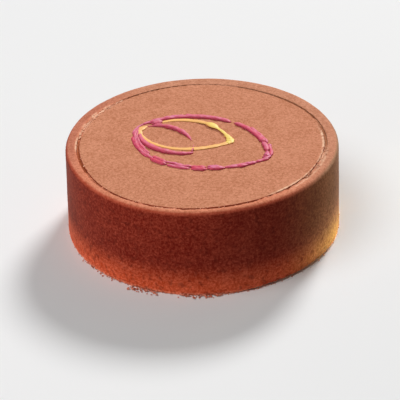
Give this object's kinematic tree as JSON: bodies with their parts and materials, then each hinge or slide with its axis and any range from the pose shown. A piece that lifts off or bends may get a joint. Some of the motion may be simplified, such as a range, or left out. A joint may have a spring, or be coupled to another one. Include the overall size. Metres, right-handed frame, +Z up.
{
  "type": "ginger cake",
  "caption": "Round uncut mousse-style ginger cake under a velvety cocoa coat, with a ring groove and piped pink and yellow loops on its flat top.",
  "frame": {"origin": "middle of the flat base, on the surface the cake stands on", "axes": "+Z up, -Y towards the side the picture is taken from, +X to the right of that view"},
  "size_m": [0.1824, 0.1834, 0.063],
  "materials": {
    "cocoa_coat": "matt velvety sprayed cocoa coat with fine dark specks",
    "pink_icing": "satin pink piped chocolate",
    "yellow_icing": "satin yellow piped chocolate",
    "pale_crumb": "matt pale crumbs"
  },
  "bodies": {
    "root": {"cake": "cocoa_coat"}
  },
  "joints": []
}
